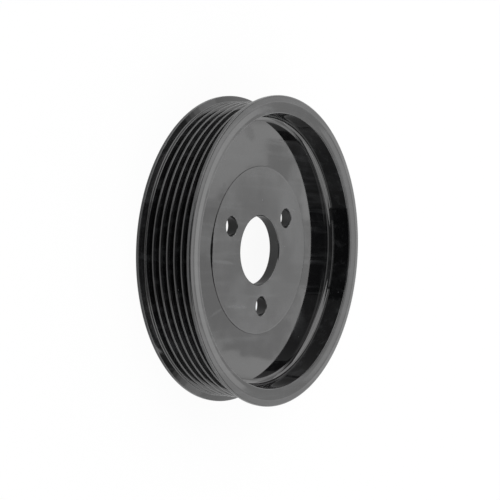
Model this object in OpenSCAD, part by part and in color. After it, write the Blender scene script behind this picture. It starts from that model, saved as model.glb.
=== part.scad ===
// Power steering pump pulley: six V grooves for a ribbed belt, moulded in one piece.
// It lies on its back face: z = 0 is the back of the rim, the axis is Z, and the front looks up.

/* [V grooves] */
// Number of V grooves in the rim
groove_count = 6; // [3:1:8]
// Distance from one groove to the next
groove_pitch = 3.56; // [3.3:0.01:4.4]
// Angle between the two flanks of a groove
groove_angle = 40; // [34:1:46]
// Depth of a groove below the crests, after its root is rounded
groove_depth = 3; // [2.4:0.1:3.4]
// Radius at the root of a groove
root_r = 0.4; // [0.2:0.05:0.5]
// Radius on both edges of each crest
tip_r = 0.25; // [0.1:0.05:0.3]

/* [Rim and flanges] */
// Diameter over the crests between the grooves
crest_d = 128.6; // [100:0.2:150]
// Height of the two flanges above the crests
flange_h = 2.6; // [1.5:0.1:6]
// Thickness of the rim, from the crests in to the foot of the recesses
rim_wall = 5.7; // [5:0.1:12]
// Width of the outer edge of each flange
flange_edge_w = 1.5; // [1.3:0.05:4]
// Lean of the flange sides that guide the belt
flange_side_angle = 20; // [5:1:30]
// Flat land between the front flange and the first groove
front_land = 0.55; // [0.4:0.05:3]
// Flat land between the last groove and the back flange
back_land = 1.05; // [0.4:0.05:3]
// Radius at the foot of each flange side
land_r = 0.2; // [0.1:0.05:0.3]
// Radius on the front outer edge
front_edge_r = 0.75; // [0.3:0.05:0.9]
// Radius on the back outer edge
back_edge_r = 0.45; // [0.3:0.05:0.9]
// Radius where a flange edge turns into its side
inner_edge_r = 0.2; // [0.1:0.05:0.3]

/* [Front face] */
// Width of the shallow bevel on the front face
bevel_w = 2.8; // [1:0.1:3]
// Slope of that bevel
bevel_angle = 7; // [1:0.5:12]
// Width of the flatter lip between the bevel and the mouth of the front recess
lip_w = 1.9; // [0.8:0.1:2.2]
// Slope of the lip
lip_angle = 3.5; // [0:0.5:6]
// Radius on the mouth of each recess
mouth_r = 0.5; // [0.2:0.05:0.7]

/* [Recesses] */
// Depth of the front recess, from the front face down to the web
front_recess = 11; // [6:0.1:14]
// Radius where the rim runs into the web
foot_r = 3; // [1:0.1:5]
// Draft of the recess walls
draft_angle = 3; // [0:0.25:4]

/* [Web and hub] */
// Thickness of the web between the hub face and the rim
web_t = 4.9; // [3:0.1:7]
// Diameter of the raised hub face
hub_d = 73; // [64:0.5:90]
// Height of the hub face above the web
hub_h = 0.25; // [0.2:0.05:1.2]
// Bevel on the edge of the hub face
hub_bevel = 0.1; // [0.05:0.05:0.15]
// Bore that centres the pulley on the pump hub
bore_d = 30; // [20:0.5:34]
// Chamfer at both ends of the bore
bore_chamfer = 0.4; // [0.2:0.1:1]

/* [Bolt holes] */
// Number of bolt holes
bolt_count = 3; // [3:1:6]
// Diameter of the circle through the bolt holes
bolt_circle_d = 49; // [47:0.5:52]
// Diameter of a bolt hole
bolt_hole_d = 8.4; // [6:0.1:9]
// Chamfer at both ends of a bolt hole
bolt_chamfer = 0.25; // [0.1:0.05:0.6]
// Direction of the first bolt hole, from +X towards +Y
bolt_start = 90; // [0:5:360]

/* [Hidden] */

// How finely an arc of the section is drawn
arc_step = 22.5;
arc_len = 0.6;
turn_fn = 180;
hole_fn = 48;
// How far a cutter runs past the face that it cuts
cut_over = 1;

crest_r = crest_d / 2;
flange_r = crest_r + flange_h;
flange_side_w = flange_h * tan(flange_side_angle);

// A groove's flanks meet below its root, by what the root radius takes away
flank = groove_angle / 2;
apex_depth = groove_depth + root_r * (1 / sin(flank) - 1);
groove_w = 2 * apex_depth * tan(flank);
grooves_w = (groove_count - 1) * groove_pitch + groove_w;

rim_w = 2 * (flange_edge_w + flange_side_w) + front_land + grooves_w + back_land;
first_groove_z = rim_w - flange_edge_w - flange_side_w - front_land - groove_w / 2;

web_front_z = rim_w - front_recess;
web_back_z = web_front_z - web_t;
hub_z = web_front_z + hub_h;
foot_at = crest_r - rim_wall;
lip_z = rim_w - bevel_w * tan(bevel_angle);
front_mouth_z = lip_z - lip_w * tan(lip_angle);
front_mouth_at = foot_at + (front_mouth_z - web_front_z) * tan(draft_angle);
back_mouth_at = foot_at + web_back_z * tan(draft_angle);
bore_r = bore_d / 2;
hub_r = hub_d / 2;

// Corner of the section as [radius from the axis, height, rounding]
groove_corners = [
    for (i = [0 : groove_count - 1], k = [-1, 0, 1])
        [crest_r - (k == 0 ? apex_depth : 0),
         first_groove_z - i * groove_pitch + k * -groove_w / 2,
         k == 0 ? root_r : tip_r]
];
hub_corners = [
    [bore_r + bore_chamfer, web_back_z, 0],
    [bore_r, web_back_z + bore_chamfer, 0],
    [bore_r, hub_z - bore_chamfer, 0],
    [bore_r + bore_chamfer, hub_z, 0],
    [hub_r - hub_bevel, hub_z, 0],
    [hub_r, hub_z - hub_bevel, 0],
    [hub_r, web_front_z, 0]
];
front_corners = [
    [foot_at, web_front_z, foot_r],
    [front_mouth_at, front_mouth_z, mouth_r],
    [front_mouth_at + lip_w, lip_z, 0],
    [front_mouth_at + lip_w + bevel_w, rim_w, 0],
    [flange_r, rim_w, front_edge_r],
    [flange_r, rim_w - flange_edge_w, inner_edge_r],
    [crest_r, rim_w - flange_edge_w - flange_side_w, land_r]
];
back_corners = [
    [crest_r, flange_edge_w + flange_side_w, land_r],
    [flange_r, flange_edge_w, inner_edge_r],
    [flange_r, 0, back_edge_r],
    [back_mouth_at, 0, mouth_r],
    [foot_at, web_back_z, foot_r]
];

function unit(v) = v / norm(v);
function flat(p) = [p[0], p[1]];

// Arc that replaces corner b between its neighbours a and c
function rounded_corner(a, b, c) =
    let (u = unit(flat(a) - flat(b)),
         v = unit(flat(c) - flat(b)),
         half = acos(u * v) / 2,
         turn = 180 - 2 * half,
         centre = flat(b) + unit(u + v) * b[2] / sin(half),
         start = flat(b) + u * b[2] / tan(half) - centre,
         side = sign(u[0] * v[1] - u[1] * v[0]),
         from = atan2(start[1], start[0]),
         steps = max(ceil(turn / arc_step), ceil(b[2] * turn * PI / 180 / arc_len)))
    [for (i = [0 : steps])
        centre + b[2] * [cos(from - side * turn * i / steps), sin(from - side * turn * i / steps)]];

function rounded(corners) =
    [for (i = [0 : len(corners) - 1])
        let (b = corners[i], n = len(corners))
        each b[2] == 0 ? [flat(b)]
            : rounded_corner(corners[(i + n - 1) % n], b, corners[(i + 1) % n])];

// Half section of the pulley, from the bore round the front, the grooves and the back
module section() {
    polygon(rounded(concat(hub_corners, front_corners, groove_corners, back_corners)));
}

module bolt_hole() {
    hole_r = bolt_hole_d / 2;
    depth = hub_z - web_back_z;
    wide_r = hole_r + bolt_chamfer + cut_over;
    translate([0, 0, web_back_z - cut_over])
        cylinder(r = hole_r, h = depth + 2 * cut_over, $fn = hole_fn);
    translate([0, 0, hub_z - bolt_chamfer])
        cylinder(r1 = hole_r, r2 = wide_r, h = wide_r - hole_r, $fn = hole_fn);
    translate([0, 0, web_back_z + bolt_chamfer - (wide_r - hole_r)])
        cylinder(r1 = wide_r, r2 = hole_r, h = wide_r - hole_r, $fn = hole_fn);
}

module pulley() {
    color("#1c1c1e")
    difference() {
        rotate_extrude($fn = turn_fn) section();
        for (i = [0 : bolt_count - 1])
            rotate([0, 0, bolt_start + i * 360 / bolt_count])
                translate([bolt_circle_d / 2, 0, 0])
                    bolt_hole();
    }
}

pulley();
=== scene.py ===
# %% [markdown]
# # A power steering pump pulley
#
# The object is one piece of black moulded plastic, 134 mm across and 27 mm wide. Six V grooves run
# round its rim for a ribbed belt. A deep recess in its face ends on a thin web, and the middle of the
# web is a raised hub face with a centring bore and three bolt holes.
#
# Three tools share one frame. The solid was made in OpenSCAD and packed, and this script only gives it
# its looks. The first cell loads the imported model. From then on a place in this script is the same
# place as in the CAD: metres, the axis of the bore on Z, and the pulley lying on its back at z = 0.

# %% Load the frame
import math

import bmesh
import bpy
from mathutils import Matrix, Vector


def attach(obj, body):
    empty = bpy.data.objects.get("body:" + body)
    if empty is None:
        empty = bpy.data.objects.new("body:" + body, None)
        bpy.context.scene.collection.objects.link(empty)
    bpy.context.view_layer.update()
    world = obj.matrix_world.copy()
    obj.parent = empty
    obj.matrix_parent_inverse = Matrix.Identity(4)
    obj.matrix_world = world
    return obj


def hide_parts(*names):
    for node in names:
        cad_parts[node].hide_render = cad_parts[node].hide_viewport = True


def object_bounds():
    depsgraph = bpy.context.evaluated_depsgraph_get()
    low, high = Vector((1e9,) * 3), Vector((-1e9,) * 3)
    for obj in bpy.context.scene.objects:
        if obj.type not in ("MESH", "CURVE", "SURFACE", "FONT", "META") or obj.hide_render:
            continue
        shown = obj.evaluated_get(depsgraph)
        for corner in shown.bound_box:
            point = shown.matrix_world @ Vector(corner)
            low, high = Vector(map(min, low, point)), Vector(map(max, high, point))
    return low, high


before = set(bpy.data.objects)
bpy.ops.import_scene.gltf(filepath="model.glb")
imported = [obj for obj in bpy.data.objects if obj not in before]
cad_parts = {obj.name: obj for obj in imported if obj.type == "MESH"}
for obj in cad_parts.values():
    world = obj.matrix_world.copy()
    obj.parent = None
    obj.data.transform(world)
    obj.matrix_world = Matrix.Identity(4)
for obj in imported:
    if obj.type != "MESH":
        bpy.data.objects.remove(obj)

cad_low, cad_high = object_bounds()
print("CAD box in mm:", [round(1000 * (h - l), 2) for l, h in zip(cad_low, cad_high)])

# %% [markdown]
# ## Working in millimetres
#
# A pulley is drawn in millimetres and Blender counts in metres. One small function turns the first
# into the second, so that every size below can be read as it would stand on a drawing.
#
# Two sizes come from the frame itself: the largest radius, over the flanges, and the width of the rim.
# If the CAD changes, the piece made here changes with it.

# %% Sizes of the pulley
def mm(*values):
    metres = [value / 1000 for value in values]
    return metres[0] if len(metres) == 1 else Vector(metres)


flange_r = (cad_high.x - cad_low.x) / 2 * 1000
rim_w = (cad_high.z - cad_low.z) * 1000

flange_h = 2.6
flange_edge_w = 1.5
flange_side_angle = math.radians(20)
front_land = 0.55
rim_wall = 5.7

groove_count = 6
groove_pitch = 3.56
groove_flank = math.radians(20)
groove_depth = 3.0

bevel_w, bevel_angle = 2.8, math.radians(7)
lip_w, lip_angle = 1.9, math.radians(3.5)
front_recess = 11.0
draft = math.radians(3)
web_t = 4.9
hub_d = 73.0
hub_h = 0.25
bore_d = 30.0
bore_chamfer = 0.4

bolt_circle_d = 49.0
bolt_hole_d = 8.4
bolt_chamfer = 0.25
bolt_angles = [math.radians(90 + 120 * i) for i in range(3)]
print("flange radius", round(flange_r, 2), "rim width", round(rim_w, 2))

# %% [markdown]
# ## Selecting in code
#
# In Blender's window a modeller clicks on points and faces. Here they are picked by where they are.

# %% Helpers for edit mode
def start_edit(thing):
    if bpy.context.object and bpy.context.object.mode == "EDIT":
        bpy.ops.object.mode_set(mode="OBJECT")
    bpy.ops.object.select_all(action="DESELECT")
    bpy.context.view_layer.objects.active = thing
    thing.select_set(True)
    bpy.ops.object.mode_set(mode="EDIT")
    bpy.ops.mesh.select_all(action="DESELECT")


def pick_points(thing, wanted):
    mesh = bmesh.from_edit_mesh(thing.data)
    for point in mesh.verts:
        point.select_set(wanted(point.co))
    mesh.select_flush_mode()
    bmesh.update_edit_mesh(thing.data)
    return sum(point.select for point in mesh.verts)


def pick_faces(thing, wanted):
    mesh = bmesh.from_edit_mesh(thing.data)
    for face in mesh.faces:
        face.select_set(wanted(face.calc_center_median(), face.normal))
    bmesh.update_edit_mesh(thing.data)


# %% [markdown]
# ## The section
#
# A pulley is a turned shape: one outline, swept round an axis, gives all of it. So the whole design
# work lies in the outline. It is listed as corners, each with its distance from the axis, its height
# and the radius that the mould leaves on it.
#
# A groove's two flanks meet below its root. How far below follows from the flank's angle and from how
# much of the point the rounding takes away.
#
# The shallow creases between the lip, the bevel and the outer ring are rounded with a large radius, so
# that a reflection slides over them without a step.

# %% Heights and radii of the section
root_r, tip_r = 0.4, 0.38
foot_r, mouth_r, crease_r = 3.0, 0.5, 9.0
crest_r = flange_r - flange_h
foot_at = crest_r - rim_wall
apex_depth = groove_depth + root_r * (1 / math.sin(groove_flank) - 1)
groove_w = 2 * apex_depth * math.tan(groove_flank)
flange_side_w = flange_h * math.tan(flange_side_angle)
first_groove_z = rim_w - flange_edge_w - flange_side_w - front_land - groove_w / 2

web_front_z = rim_w - front_recess
web_back_z = web_front_z - web_t
hub_z = web_front_z + hub_h
lip_z = rim_w - bevel_w * math.tan(bevel_angle)
mouth_z = lip_z - lip_w * math.tan(lip_angle)
mouth_at = foot_at + (mouth_z - web_front_z) * math.tan(draft)
back_mouth_at = foot_at + web_back_z * math.tan(draft)

bore_r, hub_r = bore_d / 2, hub_d / 2
hub_bevel = 0.1
hub_border = 0.6  # a strip along the edge of the hub face, so that the edge can be lifted alone
print("the web lies from", round(web_back_z, 2), "to", round(web_front_z, 2), "mm")

# %% Corners of the section
hub_corners = [
    (bore_r + bore_chamfer, web_back_z, 0.1), (bore_r, web_back_z + bore_chamfer, 0.1),
    (bore_r, hub_z - bore_chamfer, 0.12), (bore_r + bore_chamfer, hub_z, 0.12),
    (hub_r - hub_border, hub_z, 0), (hub_r - hub_bevel, hub_z, 0.05),
    (hub_r, hub_z - hub_bevel, 0.05), (hub_r, web_front_z, 0)]
front_corners = [
    (foot_at, web_front_z, foot_r), (mouth_at, mouth_z, mouth_r), (mouth_at + lip_w, lip_z, crease_r),
    (mouth_at + lip_w + bevel_w, rim_w, crease_r), (flange_r, rim_w, 0.75),
    (flange_r, rim_w - flange_edge_w, 0.2), (crest_r, rim_w - flange_edge_w - flange_side_w, 0.2)]
groove_corners = [
    (crest_r - (apex_depth if side == 0 else 0),
     first_groove_z - i * groove_pitch - side * groove_w / 2, root_r if side == 0 else tip_r)
    for i in range(groove_count) for side in (-1, 0, 1)]
back_corners = [
    (crest_r, flange_edge_w + flange_side_w, 0.45), (flange_r, flange_edge_w, 0.25),
    (flange_r, 0, 0.45), (back_mouth_at, 0, mouth_r), (foot_at, web_back_z, foot_r)]
section = hub_corners + front_corners + groove_corners + back_corners
print(len(section), "corners in the section")

# %% [markdown]
# ## Drawing the section
#
# The outline is drawn as by hand: a plane is merged to a single point, and that point is extruded from
# corner to corner. Closing the loop takes one edge. Then each corner is rounded with Bevel in its
# vertex mode. How far the bevel reaches along its two edges follows from the radius and the angle.

# %% Draw the outline
def place(corner):
    return mm(corner[0], 0, corner[1])


def draw_outline(name, corners):
    bpy.ops.object.select_all(action="DESELECT")
    bpy.ops.mesh.primitive_plane_add(size=mm(1))
    outline = bpy.context.object
    outline.name = outline.data.name = name
    start_edit(outline)
    bpy.ops.mesh.select_all(action="SELECT")
    bpy.ops.mesh.merge(type="CENTER")
    bpy.ops.transform.translate(value=place(corners[0]))
    for here, there in zip(corners, corners[1:]):
        bpy.ops.mesh.extrude_region_move(TRANSFORM_OT_translate={"value": place(there) - place(here)})
    bpy.ops.mesh.select_all(action="SELECT")
    bpy.ops.mesh.edge_face_add()
    bpy.ops.mesh.delete(type="ONLY_FACE")
    return outline


pulley = draw_outline("moulded_pulley", section)

# %% Round its corners
def reach_of(before, corner, after):
    """How far a rounding of the corner's radius runs along its two edges, and the angle it turns."""
    here = Vector(corner[:2])
    one = (Vector(before[:2]) - here).normalized()
    other = (Vector(after[:2]) - here).normalized()
    half = one.angle(other) / 2
    return corner[2] / math.tan(half), math.pi - 2 * half


def round_corners(outline, corners):
    for i, corner in enumerate(corners):
        if corner[2] == 0:
            continue
        reach, turn = reach_of(corners[i - 1], corner, corners[(i + 1) % len(corners)])
        pick_points(outline, lambda point: (point - place(corner)).length < mm(0.002))
        # A tiny corner gets by with coarser steps.
        step = math.radians(11 if corner[2] > 0.15 else 25)
        bpy.ops.mesh.bevel(
            affect="VERTICES", offset=mm(reach), segments=max(2, math.ceil(turn / step)), profile=0.5)
    outline.update_from_editmode()


round_corners(pulley, section)
print(len(pulley.data.vertices), "points in the rounded outline")

# %% [markdown]
# ## Spinning it into a solid
#
# Spin sweeps the outline once round the Z axis. The plastic is glossy, and a glossy rim shows every
# flat that it is made of, so it takes many steps. The last ring lands on the first, so the two are
# merged, and the normals are then worked out afresh, because Spin can leave them inside out.

# %% Spin the section round the axis
turn_steps = 320
bpy.ops.mesh.select_all(action="SELECT")
bpy.ops.mesh.spin(steps=turn_steps, angle=2 * math.pi, center=(0, 0, 0), axis=(0, 0, 1))
bpy.ops.mesh.select_all(action="SELECT")
bpy.ops.mesh.remove_doubles(threshold=mm(0.001))
bpy.ops.mesh.normals_make_consistent(inside=False)
pulley.update_from_editmode()
print(len(pulley.data.polygons), "faces in the spun pulley")

# %% [markdown]
# ## The parting line
#
# The grooves are undercuts, so the mould that makes the rim must open sideways. Where its two halves
# meet, a fine line is left across the ribs. The faces of the rim at that place are cut three times,
# side by side, with Bisect, and the middle cut is then pushed in by a hair with Shrink/Fatten.

# %% Cut the parting lines into the rim
parting_angles = [math.radians(269), math.radians(89)]
half_line_w, line_depth = 0.13, 0.045
deepest = crest_r - 3.8  # nothing of the rim's outside lies nearer to the axis than this


def angle_from(point, angle):
    """The angle from the direction given to the point, seen along the axis."""
    away = math.atan2(point.y, point.x) - angle
    return (away + math.pi) % (2 * math.pi) - math.pi


for angle in parting_angles:
    across = Vector((-math.sin(angle), math.cos(angle), 0))
    for shift in (-half_line_w, 0, half_line_w):
        pick_faces(pulley, lambda centre, normal: (
            centre.xy.length > mm(deepest) and abs(normal.z) < 0.96
            and abs(angle_from(centre, angle)) < math.radians(1.3)))
        bpy.ops.mesh.bisect(plane_co=across * mm(shift), plane_no=across)
    pushed = pick_points(pulley, lambda point: (
        point.xy.length > mm(deepest) and abs(point.dot(across)) < mm(0.01)
        and abs(angle_from(point, angle)) < math.radians(5)))
    bpy.ops.transform.shrink_fatten(value=mm(-line_depth))
    print(pushed, "points pushed in along a parting line")

# %% [markdown]
# ## A sliver of flash
#
# The hub face is made by an insert in the mould, and at one place the plastic crept into the gap round
# it. The sliver is the edge of the hub face, raised in four steps, each shorter than the last.

# %% Raise the sliver of flash
flash_angle = math.radians(234)
flash_steps = ((24, 0.05), (12, 0.09), (8, 0.10), (4, 0.10))  # half length in degrees, lift in mm
for half_length, lift in flash_steps:
    raised = pick_points(pulley, lambda point: (
        mm(hub_r - hub_border / 2) < point.xy.length < mm(hub_r + 0.05)
        and point.z > mm(web_front_z + 0.1)
        and abs(angle_from(point, flash_angle)) < math.radians(half_length)))
    bpy.ops.transform.translate(value=mm(0, 0, lift))
    print(raised, "points raised by", lift, "mm")
bpy.ops.object.mode_set(mode="OBJECT")

# %% [markdown]
# ## The bolt holes
#
# The mould forms each hole with a steel pin, and a small chamfer at either end keeps its edge from
# chipping. One cutter is made at the size of that pin: a cylinder whose ends are extruded outwards and
# widened. It is copied and turned round the axis, and Boolean takes all three out of the web at once.

# %% Make the first pin
flare = bolt_chamfer + 1.0  # the chamfer, and how far the pin runs past the web
bpy.ops.object.select_all(action="DESELECT")
bpy.ops.mesh.primitive_cylinder_add(
    vertices=72, radius=mm(bolt_hole_d / 2), depth=mm(hub_z - web_back_z - 2 * bolt_chamfer),
    location=mm(bolt_circle_d / 2, 0, (hub_z + web_back_z) / 2))
pin = bpy.context.object
bpy.ops.object.transform_apply(location=True, rotation=True, scale=True)
start_edit(pin)
bpy.ops.mesh.select_mode(type="FACE")
widen = (bolt_hole_d / 2 + flare) / (bolt_hole_d / 2)
for end in (1, -1):
    pick_faces(pin, lambda centre, normal: normal.z * end > 0.9)
    bpy.ops.mesh.extrude_region_move(TRANSFORM_OT_translate={"value": mm(0, 0, end * flare)})
    bpy.ops.transform.resize(value=(widen, widen, 1), center_override=mm(bolt_circle_d / 2, 0, 0))
bpy.ops.mesh.select_mode(type="VERT")
bpy.ops.object.mode_set(mode="OBJECT")

# %% Copy it round the axis
bpy.ops.object.select_all(action="DESELECT")
for angle in bolt_angles:
    pins = pin.copy()
    pins.data = pin.data.copy()
    pins.data.transform(Matrix.Rotation(angle, 4, "Z"))
    bpy.context.collection.objects.link(pins)
    pins.select_set(True)
bpy.data.objects.remove(pin)
bpy.context.view_layer.objects.active = pins
bpy.ops.object.join()
print(len(pins.data.polygons), "faces in the three pins")

# %% Cut the holes
bpy.ops.object.select_all(action="DESELECT")
bpy.context.view_layer.objects.active = pulley
pulley.select_set(True)
holes = pulley.modifiers.new("bolt holes", "BOOLEAN")
holes.operation, holes.solver, holes.object = "DIFFERENCE", "EXACT", pins
bpy.ops.object.modifier_apply(modifier=holes.name)
bpy.data.objects.remove(pins)
print(len(pulley.data.polygons), "faces with the bolt holes cut")

# %% [markdown]
# ## Shading
#
# Moulded faces meet in crisp edges but are smooth in themselves. Smooth by angle keeps an edge sharp
# where it turns more than the angle given. The weighted normals that follow let the large faces keep
# their own direction, so that a flat face mirrors the room as one flat mirror.

# %% Smooth the faces and keep the edges
bpy.ops.object.shade_smooth_by_angle(angle=math.radians(32))
flatter = pulley.modifiers.new("weighted normals", "WEIGHTED_NORMAL")
flatter.keep_sharp, flatter.weight = True, 60
bpy.ops.object.modifier_apply(modifier=flatter.name)
triangles = sum(len(face.vertices) - 2 for face in pulley.data.polygons)
print(triangles, "triangles in the finished pulley")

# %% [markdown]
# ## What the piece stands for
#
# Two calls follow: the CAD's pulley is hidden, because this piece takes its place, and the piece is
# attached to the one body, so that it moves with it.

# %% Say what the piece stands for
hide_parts("pulley")
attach(pulley, "root")

# %% [markdown]
# ## The plastic
#
# Such pulleys are moulded from a black phenolic moulding compound in a polished steel mould. So the
# surface is almost a mirror: next to no light comes back from inside it, and what the eye sees is the
# room, dimmed by the plastic's own weak reflection. Phenolics bend light more than most plastics, so
# the index of refraction is 1.7.
#
# A new moulding isn't perfect. It carries a thin cloudy haze, wiped streaks, fine scratches from being
# packed, concentric tool marks from the turned mould, and specks of dust. Each of these scatters a
# little light, so it is drawn as a bit of pale haze over the black, and as a rougher gloss.
#
# Colours are written as hex values and turned into the linear numbers that Blender works in.

# %% Helpers for materials
def colour(code):
    parts = [int(code[i:i + 2], 16) / 255 for i in (1, 3, 5)]
    linear = [p / 12.92 if p <= 0.04045 else ((p + 0.055) / 1.055) ** 2.4 for p in parts]
    return (*linear, 1)


def add_node(tree, kind, settings=(), links=()):
    """Adds a node. A setting is an attribute of the node or an input socket, by name or number, and
    a link is an input socket with the output that feeds it."""
    node = tree.nodes.new(kind)
    for name, value in dict(settings).items():
        if isinstance(name, str) and hasattr(node, name):
            setattr(node, name, value)
        else:
            node.inputs[name].default_value = value
    for name, source in dict(links).items():
        tree.links.new(source, node.inputs[name])
    return node


def new_material(name):
    material = bpy.data.materials.new(name)
    material.use_nodes = True
    material.node_tree.nodes.clear()
    return material, material.node_tree


# %% [markdown]
# ### Where on the pulley
#
# The patterns follow the object's own coordinates, turned into millimetres, so that each scale below
# is one over a real size. The distance from the axis is the length of the place without its height.

# %% Coordinates of the plastic
plastic, tree = new_material("moulded_black_phenolic")
texture_at = add_node(tree, "ShaderNodeTexCoord")
in_mm = add_node(tree, "ShaderNodeVectorMath", {"operation": "SCALE", "Scale": 1000},
                 {0: texture_at.outputs["Object"]}).outputs[0]
height = add_node(tree, "ShaderNodeSeparateXYZ", {}, {0: in_mm}).outputs["Z"]
flattened = add_node(tree, "ShaderNodeVectorMath", {"operation": "MULTIPLY", 1: (1, 1, 0)}, {0: in_mm})
from_axis = add_node(tree, "ShaderNodeVectorMath", {"operation": "LENGTH"},
                     {0: flattened.outputs[0]}).outputs["Value"]

# %% [markdown]
# ### Haze and streaks
#
# The haze lies in clouds about 20 mm wide. The streaks are the same noise, stretched along the
# direction in which the face was wiped: 45 mm long and 3 mm wide. The scratches are stretched further.
# Real ones are a few hundredths of a millimetre wide, too fine for the picture, so they are drawn
# 0.35 mm wide.

# %% Clouds of haze
cloud_noise = add_node(tree, "ShaderNodeTexNoise", {"Scale": 1 / 20, "Detail": 6, "Roughness": 0.62},
                       {"Vector": in_mm})
clouds = add_node(tree, "ShaderNodeMapRange", {
    "interpolation_type": "SMOOTHSTEP", "From Min": 0.47, "From Max": 0.75},
    {"Value": cloud_noise.outputs[0]}).outputs[0]

# %% Wiped streaks and fine scratches
haze_parts = [(clouds, 0.075)]
# Turn in degrees, length and width in mm, the noise values where a streak starts and is full, amount
streaks = ((53, 45, 3.0, 0.50, 0.72, 0.06), (20, 60, 0.35, 0.66, 0.76, 0.05),
           (-48, 50, 0.35, 0.68, 0.78, 0.05))
for turned, length, width, low, high, amount in streaks:
    stretched = add_node(tree, "ShaderNodeMapping", {
        "vector_type": "TEXTURE", "Rotation": (0, 0, math.radians(turned)),
        "Scale": (length, width, width)}, {"Vector": in_mm})
    noise = add_node(tree, "ShaderNodeTexNoise", {"Scale": 1, "Detail": 3, "Roughness": 0.5},
                     {"Vector": stretched.outputs[0]})
    lines = add_node(tree, "ShaderNodeMapRange", {
        "interpolation_type": "SMOOTHSTEP", "From Min": low, "From Max": high},
        {"Value": noise.outputs[0]})
    haze_parts.append((lines.outputs[0], amount))
print(len(haze_parts), "kinds of haze so far")

# %% [markdown]
# ### Tool marks and dust
#
# The steel for the two faces was turned on a lathe, and its marks are copied into the plastic as rings.
# A lathe leaves them a tenth or two of a millimetre apart, too fine for the picture, so they are drawn
# 1.1 mm apart. A Wave texture repeats after 2 * pi / 20 of a unit at scale 1, so its scale is that over
# the spacing.
#
# A speck of dust is a small ball about the middle of a Voronoi cell. The cells are 9 mm wide, and the
# specks 0.4 mm, which is as small as shows.

# %% Rings from the lathe and specks of dust
ring_gap = 1.1
rings = add_node(tree, "ShaderNodeTexWave", {
    "wave_type": "RINGS", "rings_direction": "Z", "Scale": 2 * math.pi / 20 / ring_gap,
    "Distortion": 0.6, "Detail": 2, "Detail Scale": 0.3}, {"Vector": in_mm})
haze_parts.append((rings.outputs["Fac"], 0.012))
dust_gap, speck_r = 9, 0.2
cells = add_node(tree, "ShaderNodeTexVoronoi", {"Scale": 1 / dust_gap}, {"Vector": in_mm})
specks = add_node(tree, "ShaderNodeMapRange", {
    "interpolation_type": "SMOOTHSTEP", "From Min": 1.6 * speck_r / dust_gap,
    "From Max": 0.6 * speck_r / dust_gap}, {"Value": cells.outputs["Distance"]})
haze_parts.append((specks.outputs[0], 0.35))

# %% [markdown]
# ### A paler top ring, and painted sheen on the flanges
#
# The highest ring of the front face is a little paler than the rest. The outer edges of the flanges
# are paler still, as painted sheen for the light they reflect. Both vary from place to place.

# %% A paler top ring and painted sheen on the flanges
high_ring = add_node(tree, "ShaderNodeMapRange", {
    "interpolation_type": "SMOOTHSTEP", "From Min": rim_w - 0.6, "From Max": rim_w - 0.1},
    {"Value": height})
# Painted sheen: the outer edges of the flanges are made paler to stand for the light they reflect.
painted_sheen_edge = add_node(tree, "ShaderNodeMapRange", {
    "interpolation_type": "SMOOTHSTEP", "From Min": flange_r - 0.4, "From Max": flange_r},
    {"Value": from_axis})
faint = add_node(tree, "ShaderNodeMath", {"operation": "MULTIPLY", 1: 0.3}, {0: high_ring.outputs[0]})
paler_ring_and_sheen = add_node(tree, "ShaderNodeMath", {"operation": "MAXIMUM"},
                {0: faint.outputs[0], 1: painted_sheen_edge.outputs[0]})
patchy = add_node(tree, "ShaderNodeMapRange", {"From Min": 0.3, "From Max": 0.7, "To Min": 0.35},
                  {"Value": cloud_noise.outputs[0]})
patchy_ring_and_sheen = add_node(tree, "ShaderNodeMath", {"operation": "MULTIPLY"},
                  {0: paler_ring_and_sheen.outputs[0], 1: patchy.outputs[0]})
# The paler top ring and the painted sheen on the flanges go into the haze.
haze_parts.append((patchy_ring_and_sheen.outputs[0], 0.11))

# %% [markdown]
# ### Single marks
#
# A few marks are in known places: dried wipe marks on the hub face, three dull scuffs, and three soft,
# pale patches of haze. Each is an oval about its own middle. A Mapping node of type Texture moves the
# middle to zero, turns the oval and divides by its half sizes, so that the edge of the oval is at
# length 1. Noise 2.5 mm wide is added to that length, and makes the edge ragged.
#
# The hub face as a whole is duller than the web, and patchily so, because the insert that forms it is
# less polished.

# %% Wipe marks and scuffs
ragged = add_node(tree, "ShaderNodeTexNoise", {"Scale": 1 / 2.5, "Detail": 4}, {"Vector": in_mm})
edge_at = 1.35  # the oval's length of 1, and most of what the noise adds to it


def add_ovals(ovals, softness):
    """One mask on the front for several ovals: middle x and y, turn, half length and half width."""
    insides = []
    for x, y, turned, half_length, half_width in ovals:
        local = add_node(tree, "ShaderNodeMapping", {
            "vector_type": "TEXTURE", "Location": (x, y, 0), "Rotation": (0, 0, math.radians(turned)),
            "Scale": (half_length, half_width, 1)}, {"Vector": flattened.outputs[0]})
        far = add_node(tree, "ShaderNodeVectorMath", {"operation": "LENGTH"}, {0: local.outputs[0]})
        torn = add_node(tree, "ShaderNodeMath", {"operation": "ADD"},
                        {0: far.outputs["Value"], 1: ragged.outputs[0]})
        inside = add_node(tree, "ShaderNodeMapRange", {
            "interpolation_type": "SMOOTHSTEP", "From Min": edge_at + softness,
            "From Max": edge_at - softness}, {"Value": torn.outputs[0]})
        insides.append(inside)
    joined = insides[0]
    for inside in insides[1:]:
        joined = add_node(tree, "ShaderNodeMath", {"operation": "MAXIMUM"},
                          {0: joined.outputs[0], 1: inside.outputs[0]})
    return add_node(tree, "ShaderNodeMath", {"operation": "MULTIPLY"},
                    {0: joined.outputs[0], 1: on_front}).outputs[0]


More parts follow.
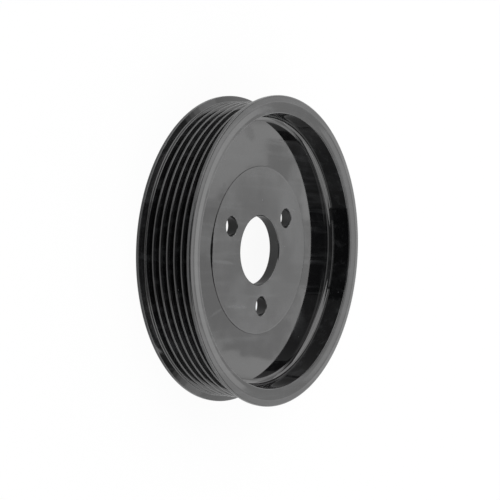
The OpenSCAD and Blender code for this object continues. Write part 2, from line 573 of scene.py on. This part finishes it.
on_front = add_node(tree, "ShaderNodeMath", {"operation": "GREATER_THAN", 1: web_front_z - 1},
                    {0: height}).outputs[0]
wipe_marks = add_ovals(
    [(-12.5, -26.0, 50, 9.0, 0.8), (3.0, -40.5, 75, 6.0, 0.7), (10.0, -27.5, 52, 8.5, 0.7)], 0.25)
scuffs = add_ovals(
    [(-47.3, 20.1, 20, 5.0, 3.2), (-38.6, -7.5, 0, 1.5, 1.0), (40.3, 3.4, 60, 1.6, 0.9)], 0.4)
# Three soft, pale patches of haze on the web and the hub face.
pale_patches = add_ovals([(17, -3, 58, 20, 9), (22, -24, 40, 12, 7), (-5, 28, 15, 13, 6)], 0.7)
haze_parts += [(wipe_marks, 0.09), (pale_patches, 0.035)]
print(len(haze_parts), "kinds of haze with the single marks")

# %% The duller hub face
within_hub = add_node(tree, "ShaderNodeMath", {"operation": "LESS_THAN", 1: hub_r - hub_bevel},
                      {0: from_axis})
hub_face = add_node(tree, "ShaderNodeMath", {"operation": "MULTIPLY"},
                    {0: within_hub.outputs[0], 1: on_front})
mottled = add_node(tree, "ShaderNodeMath", {"operation": "MULTIPLY"},
                   {0: hub_face.outputs[0], 1: patchy.outputs[0]})
haze_parts.append((mottled.outputs[0], 0.04))

# %% [markdown]
# ### Putting it together
#
# The parts of the haze are added up. Their sum mixes a pale grey over the black, and also takes away
# gloss. The scuffs only take away gloss. A very shallow waviness, 25 mm from crest to crest, comes from
# the way the plastic shrinks as it cools.

# %% Add up the haze
(first_mask, first_amount), *more_parts = haze_parts
haze = add_node(tree, "ShaderNodeMath", {"operation": "MULTIPLY", 1: first_amount}, {0: first_mask})
for mask, amount in more_parts:
    haze = add_node(tree, "ShaderNodeMath", {"operation": "MULTIPLY_ADD", 1: amount},
                    {0: mask, 2: haze.outputs[0]})
tint = add_node(tree, "ShaderNodeMix", {
    "data_type": "RGBA", 6: colour("#0a0a0b"), 7: colour("#7c7e80")}, {0: haze.outputs[0]})
dulled = add_node(tree, "ShaderNodeMath", {"operation": "MULTIPLY_ADD", 1: 0.8, 2: 0.035},
                  {0: haze.outputs[0]})
scuffed = add_node(tree, "ShaderNodeMath", {"operation": "MULTIPLY_ADD", 1: 0.18},
                   {0: scuffs, 2: dulled.outputs[0]})
gloss_lost = add_node(tree, "ShaderNodeMath", {"operation": "MULTIPLY_ADD", 1: 0.12},
                      {0: mottled.outputs[0], 2: scuffed.outputs[0]})

# %% Waviness and the finished plastic
waves = add_node(tree, "ShaderNodeTexNoise", {"Scale": 1 / 25, "Detail": 2}, {"Vector": in_mm})
wavy = add_node(tree, "ShaderNodeBump", {"Strength": 1.0, "Distance": mm(0.05)},
                {"Height": waves.outputs[0]})
shader = add_node(tree, "ShaderNodeBsdfPrincipled", {"IOR": 1.7}, {
    "Base Color": tint.outputs[2], "Roughness": gloss_lost.outputs[0], "Normal": wavy.outputs[0]})
add_node(tree, "ShaderNodeOutputMaterial", {}, {"Surface": shader.outputs[0]})
pulley.data.materials.clear()
pulley.data.materials.append(plastic)
print(len(tree.nodes), "nodes in the plastic")

# %% [markdown]
# ### The drafted walls
#
# The steep walls of the two recesses slide along the steel when the mould opens, and that wipes some
# gloss off them. Their mirror image in the web is darker still, because the first reflection polarises
# the light and the second lets less of it through, which Blender leaves out. So the walls get a copy of
# the material, with the same marks and a lower specular level set on its shader.

# %% Give the walls their own copy
wall_plastic = plastic.copy()
wall_plastic.name = "moulded_black_phenolic_drafted"
for node in wall_plastic.node_tree.nodes:
    if node.type == "BSDF_PRINCIPLED":
        node.inputs["Specular IOR Level"].default_value = 0.13
pulley.data.materials.append(wall_plastic)
on_walls = 0
for face in pulley.data.polygons:
    near_wall = mm(foot_at - 0.05) < face.center.xy.length < mm(mouth_at + 0.05)
    if near_wall and abs(face.normal.z) < 0.12:
        face.material_index = 1
        on_walls += 1
print(on_walls, "faces on the drafted walls")

# %% [markdown]
# ## The floor
#
# The pulley lies on white paper that runs off past every edge of the picture. Seen by the camera, most
# of its white is its own, at strength 1, and the rest is a matte white that keeps the object's soft
# shadow. In a reflection the matte part is larger, so that the rim mirrors the shade at its own foot.
# Light Path says which kind of ray is looking.

# %% Floor
bpy.ops.object.select_all(action="DESELECT")
bpy.ops.mesh.primitive_plane_add(size=6, location=(0, 0, 0))
floor = bpy.context.object
floor.name = "floor"
paper, tree = new_material("white_paper_floor")
path = add_node(tree, "ShaderNodeLightPath")
seen = add_node(tree, "ShaderNodeMath", {"operation": "MAXIMUM"},
                {0: path.outputs["Is Camera Ray"], 1: path.outputs["Is Transmission Ray"]})
mirrored = add_node(tree, "ShaderNodeMath", {"operation": "MULTIPLY", 1: 0.3},
                    {0: path.outputs["Is Glossy Ray"]})
share = add_node(tree, "ShaderNodeMath", {"operation": "MULTIPLY_ADD", 1: 0.94},
                 {0: seen.outputs[0], 2: mirrored.outputs[0]})
matte = add_node(tree, "ShaderNodeBsdfDiffuse", {"Color": colour("#f4f4f4")})
glow = add_node(tree, "ShaderNodeEmission", {"Color": colour("#ffffff"), "Strength": 1.0})
both = add_node(tree, "ShaderNodeMixShader", {},
                {0: share.outputs[0], 1: matte.outputs[0], 2: glow.outputs[0]})
add_node(tree, "ShaderNodeOutputMaterial", {}, {"Surface": both.outputs[0]})
floor.data.materials.append(paper)

# %% [markdown]
# ## The camera
#
# The camera stands 0.68 m off, at a height of 0.38 m, and looks down on the pulley at 34 degrees. It is
# turned on its own axis until the pulley stands on edge in the picture.

# %% Camera
camera_at = mm(-338.44, -446.71, 384.63)
look = Vector((0.50253, 0.66307, -0.55479)).normalized()
right = Vector((0.2947, 0.4719, 0.83094))
right = (right - look * right.dot(look)).normalized()
up = right.cross(look)
bpy.ops.object.select_all(action="DESELECT")
bpy.ops.object.camera_add()
camera = bpy.context.object
camera.matrix_world = Matrix((
    (right.x, up.x, -look.x, camera_at.x), (right.y, up.y, -look.y, camera_at.y),
    (right.z, up.z, -look.z, camera_at.z), (0, 0, 0, 1)))
# The lens is 3.09 times as long as the picture is wide.
camera.data.sensor_width, camera.data.lens = 36, 1545.2 / 500 * 36
camera.data.clip_start, camera.data.clip_end = 0.01, 20
bpy.context.scene.camera = camera

# %% [markdown]
# ## The light
#
# A black mirror is lit by what it reflects, so the lamps are large soft panels round the pulley, like
# the walls of a light tent. The camera looks in through the open side, which stays dark and gives the
# rim and the recess their black bands. The places of the panels are given as: away from the camera,
# to its left, and up.

# %% Panels of the tent
away = Vector((look.x, look.y, 0)).normalized()
left = Vector((-away.y, away.x, 0))


def tent(outward, leftward, upward):
    return away * outward + left * leftward + Vector((0, 0, upward))


def add_panel(name, centre, aim, width, height, radiance):
    facing = (aim - centre).normalized()
    wide = facing.cross(Vector((0, 0, 1)))
    wide = left.copy() if wide.length < 0.05 else wide.normalized()
    tall = wide.cross(facing)
    bpy.ops.object.light_add(type="AREA")
    lamp = bpy.context.object
    lamp.name = name
    lamp.data.shape, lamp.data.size, lamp.data.size_y = "RECTANGLE", width, height
    lamp.data.energy = radiance * math.pi * width * height
    lamp.matrix_world = Matrix((
        (wide.x, tall.x, -facing.x, centre.x), (wide.y, tall.y, -facing.y, centre.y),
        (wide.z, tall.z, -facing.z, centre.z), (0, 0, 0, 1)))


# %% [markdown]
# ### The far wall
#
# The flat faces mirror the far wall, and in its middle hangs a rounded sheet that is a little dimmer
# than the rest. So that part of the wall is built in rows: a dim panel, and brighter ones to its left
# and right. Each row gives its lower and upper edge and how far the dim part reaches to either side.
# The two ends of the wall fade out upwards in steps, because the back flange mirrors them from its top
# down its side, and there the light falls away gently.

# %% Far wall
bright, dim, wing = 1.63, 1.05, 1.35
# Name, left and right edge, lower and upper edge, radiance
wall_parts = [("low", 0.48, -0.48, 0.0, 0.54, bright),
              ("top", 0.48, -0.48, 0.70, 0.92, bright),
              ("left_wing", 0.48, 0.14, 0.54, 0.70, wing),
              ("right_wing", -0.14, -0.48, 0.54, 0.70, wing)]
ends = ((0.0, 0.30, 1.4), (0.30, 0.70, 0.9), (0.70, 0.98, 1.2), (0.98, 1.10, 0.8), (1.10, 1.20, 0.5),
        (1.20, 1.32, 0.25))
for i, (low, high, radiance) in enumerate(ends):
    wall_parts += [(f"left_end_{i}", 0.95, 0.48, low, high, radiance),
                   (f"right_end_{i}", -0.48, -0.95, low, high, radiance)]
rows = ((0.540, 0.552, 0.036, -0.040), (0.552, 0.560, 0.055, -0.068), (0.560, 0.569, 0.080, -0.090),
        (0.569, 0.580, 0.105, -0.112), (0.580, 0.606, 0.124, -0.120), (0.606, 0.630, 0.095, -0.120),
        (0.630, 0.650, 0.080, -0.114), (0.650, 0.670, 0.069, -0.103), (0.670, 0.700, 0.055, -0.090))
for i, (low, high, left_edge, right_edge) in enumerate(rows):
    wall_parts += [(f"left_{i}", 0.14, left_edge, low, high, bright),
                   (f"middle_{i}", left_edge, right_edge, low, high, dim),
                   (f"right_{i}", right_edge, -0.14, low, high, bright)]
wall_at = 0.9
for name, start, end, low, high, radiance in wall_parts:
    centre = tent(wall_at, (start + end) / 2, (low + high) / 2)
    add_panel("far_" + name, centre, centre - away, start - end, high - low, radiance)
print(len(wall_parts), "panels in the far wall")

# %% [markdown]
# ### The side walls
#
# The side walls light the curved foot of the recess. Each has a low, upright panel and a high one that
# leans over the pulley. The left wall is the stronger one, and the low panels run on past the camera.

# %% Side walls, roof and the strip below the camera
# Name, middle, point it faces, width, height, radiance
panels = (("roof", (0.25, 0, 1.2), (0.25, 0, 0), 0.8, 0.7, 0.5),
          ("left_high", (-0.22, 0.75, 0.95), (-0.22, 0, 0.1), 1.35, 0.85, 2.0),
          ("right_high", (-0.15, -0.75, 0.95), (-0.15, 0, 0.1), 1.3, 0.85, 1.7),
          ("left_low", (-0.35, 0.85, 0.32), (-0.35, 0, 0.32), 2.3, 0.62, 1.7),
          ("right_low", (-0.1, -0.85, 0.32), (-0.1, 0, 0.32), 1.9, 0.62, 1.5),
          ("below_camera", (-0.95, 0, 0.14), (0, 0, 0.14), 1.0, 0.26, 1.0))
for name, middle, aim, width, tall, radiance in panels:
    add_panel(name, tent(*middle), tent(*aim), width, tall, radiance)
print(len(panels), "panels round the pulley")

# %% [markdown]
# ## The room and the picture
#
# The dim world stands for the room outside the tent. It keeps the parts that mirror no panel from
# going fully black. The picture is shown with the Standard view, so a colour comes out as written.

# %% World and picture settings
world = bpy.data.worlds.new("dim_room")
bpy.context.scene.world = world
world.use_nodes = True
world.node_tree.nodes["Background"].inputs["Color"].default_value = colour("#ffffff")
world.node_tree.nodes["Background"].inputs["Strength"].default_value = 0.11
bpy.context.scene.view_settings.view_transform = "Standard"
